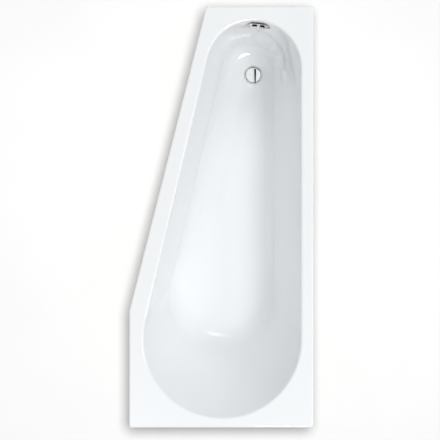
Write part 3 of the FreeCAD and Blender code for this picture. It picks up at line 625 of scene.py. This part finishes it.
rosette = [(0.0004, 0.0200), (0.0130, 0.0200), (0.0255, 0.0200), (0.0267, 0.0197), (0.0276, 0.0190),
           (0.0285, 0.0175), (0.0291, 0.0159), (0.0300, 0.0145), (0.0312, 0.0136), (0.0340, 0.0125),
           (0.0373, 0.0112), (0.0383, 0.0107), (0.0389, 0.0099), (0.0387, 0.0094), (0.0366, 0.0086)]
socket = [(0.0044, 0.0085), (0.0042, 0.0087), (0.0042, 0.0145), (0.0004, 0.0145)]
knob = lathe("Knob_rosette", rosette + socket, overflow, axis=-outward, count=128)
knob.data.materials.append(chrome)
knob.data.materials.append(black_plastic)
fin_width, fin_root, fin_tip = 0.0065, 0.050, 0.045
fin_middle, fin_depth = 0.024, 0.016
fin = block(lambda c: on_knob(fin_width * c.x, (fin_root if c.z < 0 else fin_tip) * c.y,
                              fin_middle + fin_depth * c.z), 0)


def fin_end(edge):
    """The two short edges at the outer end of the fin."""
    out = (overflow - edge.verts[0].co).dot(outward)
    return edge.calc_length() < fin_width + 0.0005 and out > fin_middle


bpy.ops.object.mode_set(mode="EDIT")
pick_edges(fin, fin_end)
bpy.ops.mesh.bevel(offset=0.005, segments=6, affect="EDGES")
bpy.ops.mesh.select_all(action="DESELECT")
bpy.ops.mesh.edges_select_sharp(sharpness=math.radians(40))
bpy.ops.mesh.bevel(offset=0.0015, segments=4, affect="EDGES")
bpy.ops.object.mode_set(mode="OBJECT")
combine(knob, fin, "UNION")
recess_width, recess_height, recess_depth = 0.020, 0.030, 0.0068
recess_across, recess_up, recess_out = 0.0145, 0.020, 0.0152
# The cut faces inside the recesses take black plastic: painted shade in the recesses.
for side in (-recess_across, recess_across):
    recess = block(lambda c: on_knob(side + recess_width * c.x, recess_up + recess_height * c.y,
                                     recess_out + recess_depth * c.z), 1)
    bake(recess, "BEVEL", width=0.0025, segments=4)
    combine(knob, recess, "DIFFERENCE")
bake(knob, "BEVEL", width=0.0004, segments=2, limit_method="ANGLE", angle_limit=math.radians(40))
smooth(knob, 35)
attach(knob, "knob")
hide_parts("overflow_knob")
plated_brass = dressed("Nickel plated brass", mottle, (0.30, 0.29, 0.27), (0.38, 0.37, 0.34), (0.3, 0.42),
                       scale=200.0, Metallic=1.0)
drawn("Knob_spindle", ["knob_shaft"], "knob", plated_brass)
drawn("Knob_crank", ["shaft_crank"], "knob", grey_plastic)


# Hose and cable between overflow and drain.
# A corrugated plastic hose, blown in a mould, with plain cuffs under two union nuts, and a black cable
# sheath with a steel ferrule at each end.

port_z = 0.122
port_reach = 0.0333
port_drop = 0.0373
port_behind = 0.029
hose_bend = 0.045
hose_radius, hose_bore = 0.0170, 0.0141
hose_cuff, cuff_edge = 0.034, 0.033
hose_ribs = 55
rib_outline = ((0.02, 0.01685), (0.10, 0.0170), (0.20, 0.0168), (0.30, 0.0160), (0.38, 0.0155),
               (0.52, 0.0155), (0.60, 0.0160), (0.70, 0.0168), (0.80, 0.0170), (0.90, 0.01685))
hose_top = overflow + outward * port_behind
hose_run = Vector((hose_top.x - drain.x, hose_top.y - drain.y, 0))
hose_way = hose_run.normalized()
hose_side = hose_way.cross(up)
hose_start = drain + up * port_z + hose_way * port_reach
hose_level = hose_run.length - port_reach - hose_bend
hose_rise = overflow.z - port_drop - port_z - hose_bend
hose_arc = hose_bend * math.pi / 2
hose_length = hose_level + hose_arc + hose_rise


def along_hose(distance):
    """Point and direction on the hose's middle line: level, a quarter bend, upright."""
    if distance < hose_level:
        return hose_start + hose_way * distance, hose_way
    bend = hose_start + hose_way * hose_level
    if distance < hose_level + hose_arc:
        angle = (distance - hose_level) / hose_bend
        way = hose_way * math.cos(angle) + up * math.sin(angle)
        point = bend + hose_way * (hose_bend * math.sin(angle)) + up * (hose_bend * (1 - math.cos(angle)))
        return point, way
    return bend + hose_way * hose_bend + up * (hose_bend + distance - hose_level - hose_arc), up


def hose_loop(distance, radius):
    """A round section of the hose at a distance along it."""
    point, way = along_hose(distance)
    across = way.cross(hose_side)
    turns = [2 * math.pi * step / 36 for step in range(36)]
    return [point + (hose_side * math.cos(a) + across * math.sin(a)) * radius for a in turns]


hose_outline = [(0.0, hose_bore), (0.0, hose_radius), (cuff_edge, hose_radius)]
pitch = (hose_length - 2 * hose_cuff) / hose_ribs
for rib in range(hose_ribs):
    for share, radius in rib_outline:
        hose_outline.append((hose_cuff + pitch * (rib + share), radius))
hose_outline += [(hose_length - cuff_edge, hose_radius), (hose_length, hose_radius), (hose_length, hose_bore)]
hose_outline += [(hose_length * step / 24, hose_bore) for step in range(23, 0, -1)]
hose = closed_strip("Corrugated_hose", [hose_loop(distance, radius) for distance, radius in hose_outline])
bpy.ops.object.mode_set(mode="EDIT")
pick_edges(hose, lambda edge: edge.is_boundary)
bpy.ops.mesh.bridge_edge_loops()
face_outwards()
smooth(hose, 60)
hose_plastic = dressed("Hose plastic", mottle, (0.60, 0.60, 0.58), (0.68, 0.68, 0.66), (0.3, 0.42),
                       relief=0.00002, scale=250.0)
hose.data.materials.append(hose_plastic)
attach(hose, "tub")
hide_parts("overflow_hose")
drawn("Hose_union_nuts", ["hose_nuts"], "tub", grey_plastic, edge=0.0005)
drawn("Cable_cover", ["cable_sheath"], "tub", black_plastic)
drawn("Cable_ends", ["cable_ferrules"], "tub", bright_zinc)


# Trap and outlet under the drain.
# A flat white bottle trap, moulded in two halves, held up by a ribbed grey union nut, and a white spigot to
# the house drain with its own union nut and seal.

drawn("Trap_can", ["trap_body"], "tub", white_plastic, edge=0.0008)
drawn("Trap_gaskets", ["trap_seal", "outlet_seal"], "tub", rubber, edge=0.0002)
drawn("Trap_union_nuts", ["trap_nut", "outlet_nut"], "tub", grey_plastic, edge=0.0005)
drawn("Outlet_spigot", ["outlet_pipe"], "tub", white_plastic, edge=0.0006)


# Studio.
# A pale paper floor under an even sky, with soft boxes round the tub that light its basin. The paper is
# painted paler away from the tub: painted light that makes up for the shadow lamp's fall-off. A round lamp
# beside the camera, for the floor alone, lays the soft shadow, lamps for the tub alone draw its glints, and
# a card over the camera, seen in reflections alone, draws the dark line in the chrome.

bpy.ops.object.select_all(action="DESELECT")
bpy.ops.mesh.primitive_grid_add(x_subdivisions=4, y_subdivisions=4, size=30, location=(0, 0, -0.0002))
ground = bpy.context.object
ground.name = "Studio_floor"
bpy.ops.object.transform_apply(location=True)
paper = dressed("Studio paper", mottle, (0.53, 0.53, 0.53), (0.55, 0.55, 0.55), (0.85, 0.95), scale=1.5)
tree = paper.node_tree
shader = tree.nodes["Principled BSDF"]
place = node(tree, "TexCoord")
away = node(tree, "VectorMath", [(0, place.outputs["Object"])], operation="LENGTH")
# Painted light: the paper grows paler from 1.5 m to 6 m out, making up for the shadow lamp falling off with
# distance.
share = node(tree, "MapRange", [("Value", away.outputs["Value"])], From_Min=1.5, From_Max=6.0)
falloff_fill_tone = node(tree, "RGB")
falloff_fill_tone.outputs[0].default_value = (0.93, 0.93, 0.93, 1)
near = shader.inputs["Base Color"].links[0].from_socket
tree.links.new(tones(tree, share.outputs["Result"], near, falloff_fill_tone.outputs[0]), shader.inputs["Base Color"])
face = node(tree, "NewGeometry")
clear = node(tree, "BsdfTransparent")
seen = node(tree, "MixShader", [(0, face.outputs["Backfacing"]), (1, shader.outputs[0]),
                                (2, clear.outputs[0])])
tree.links.new(seen.outputs[0], tree.nodes["Material Output"].inputs["Surface"])
ground.data.materials.append(paper)

bpy.ops.object.select_all(action="DESELECT")
bpy.ops.mesh.primitive_grid_add(x_subdivisions=4, y_subdivisions=4, size=20, location=(0, 0, 6.2))
card = bpy.context.object
card.name = "Studio_card"
bpy.ops.object.transform_apply(location=True)
glow = bpy.data.materials.new("Studio card")
glow.use_nodes = True
tree = glow.node_tree
place = node(tree, "TexCoord")
across = node(tree, "SeparateXYZ", [("Vector", place.outputs["Object"])])
stripe_x = 0.665
fall = node(tree, "MapRange", [("Value", across.outputs["X"])],
            From_Min=0.0, From_Max=0.5, To_Min=1.0, To_Max=0.6)
wedge = node(tree, "MapRange", [("Value", across.outputs["Y"])],
             From_Min=-0.2, From_Max=2.7, To_Min=0.12, To_Max=0.2)
band = node(tree, "Math", [(0, across.outputs["X"]), (2, wedge.outputs["Result"])], operation="COMPARE")
band.inputs[1].default_value = stripe_x
fade = node(tree, "MapRange", [("Value", across.outputs["Y"])], From_Min=-0.9, From_Max=-0.2)
stripe = node(tree, "Math", [(0, band.outputs["Value"]), (1, fade.outputs["Result"])], operation="MULTIPLY")
right = node(tree, "Math", [(0, across.outputs["X"])], operation="GREATER_THAN")
right.inputs[1].default_value = stripe_x
level = node(tree, "Math", [(0, fall.outputs["Result"]), (1, right.outputs["Value"])], operation="MAXIMUM")
shader = tree.nodes["Principled BSDF"]
shader.inputs["Base Color"].default_value = (0, 0, 0, 1)
shader.inputs["Specular IOR Level"].default_value = 0
shine = node(tree, "Emission", [("Color", level.outputs["Value"])], Strength=0.58)
clear = node(tree, "BsdfTransparent")
both = node(tree, "AddShader", [(0, shine.outputs[0]), (1, clear.outputs[0])])
seen = node(tree, "MixShader", [(0, stripe.outputs["Value"]), (1, both.outputs[0]), (2, shader.outputs[0])])
tree.links.new(seen.outputs[0], tree.nodes["Material Output"].inputs["Surface"])
card.data.materials.append(glow)
card.visible_camera = False
card.visible_diffuse = False
card.visible_shadow = False

sky = bpy.data.worlds.new("Studio sky")
sky.use_nodes = True
sky.node_tree.nodes["Background"].inputs["Color"].default_value = (0.985, 0.995, 1.0, 1)
sky.node_tree.nodes["Background"].inputs["Strength"].default_value = 0.45
bpy.context.scene.world = sky

tub_middle = Vector((0, 0, 0.4))


def lit(name, place, energy, aim=tub_middle, **settings):
    """An area lamp at a place, turned towards its aim and hidden from the camera."""
    lamp = bpy.data.lights.new(name, "AREA")
    lamp.energy = energy
    for key, value in settings.items():
        setattr(lamp, key, value)
    made = bpy.data.objects.new(name, lamp)
    made.location = place
    made.rotation_euler = (Vector(place) - aim).to_track_quat("Z", "Y").to_euler()
    made.visible_camera = False
    bpy.context.scene.collection.objects.link(made)
    return made


def only_for(objects, linked, name):
    """A collection for light linking that takes these objects in, or leaves just them out."""
    made = bpy.data.collections.new(name)
    for obj in objects:
        made.objects.link(obj)
    for entry in made.collection_objects:
        entry.light_linking.link_state = "INCLUDE" if linked else "EXCLUDE"
    return made


def from_side(turn, rise, reach):
    """A place round the tub: degrees round from +X, degrees up, and metres away."""
    a, e = math.radians(turn), math.radians(rise)
    way = Vector((math.cos(a) * math.cos(e), math.sin(a) * math.cos(e), math.sin(e)))
    return way * reach + tub_middle


card.light_linking.receiver_collection = only_for([lid, ring, knob], True, "Chrome only")
off_floor = only_for([ground], False, "All but the floor")
boxes = {"Corner box": (-40, 62, 6.0, 1.6, 86), "Wall box": (5, 68, 6.0, 1.6, 52),
         "Low wall box": (8, 44, 6.0, 1.6, 43), "Head box": (-90, 48, 6.0, 1.6, 27),
         "Foot box": (90, 45, 6.0, 1.6, 53), "Near box": (-125, 30, 1.6, 0.5, 1.4)}
for label, (turn, rise, reach, size, energy) in boxes.items():
    box = lit(label, from_side(turn, rise, reach), energy, size=size, color=(0.975, 0.988, 1.0))
    box.visible_glossy = False
    box.light_linking.receiver_collection = off_floor
on_tub = only_for([tub], True, "Tub only")
glints = {"Crease glint": ((0.5, 2.1, 3.2), 0.9, 0.9, 11),
          "Foot glint": ((1.0, -1.75, 2.8), 1.8, 0.9, 150),
          "Rim glint": ((3.23, -1.18, 2.74), 2.4, 0.8, 40)}
for label, (place, wide, high, energy) in glints.items():
    glint = lit(label, place, energy, shape="RECTANGLE", size=wide, size_y=high)
    glint.visible_diffuse = False
    glint.light_linking.receiver_collection = on_tub
camera_height = 5.590
shadow_middle = Vector((0.090, 0.105, 0))
shadow_lamp = lit("Shadow lamp", shadow_middle + up * camera_height, 465, aim=shadow_middle,
                  shape="DISK", size=0.72)
shadow_lamp.visible_glossy = False
shadow_lamp.light_linking.receiver_collection = only_for([ground], True, "Floor only")

eye = bpy.data.cameras.new("Photo view")
eye.lens = 107.7
eye.sensor_width = 36
camera = bpy.data.objects.new("Photo view", eye)
camera.location = (-0.005, -0.011, camera_height)
bpy.context.scene.collection.objects.link(camera)
bpy.context.scene.camera = camera
bpy.context.scene.view_settings.view_transform = "Standard"
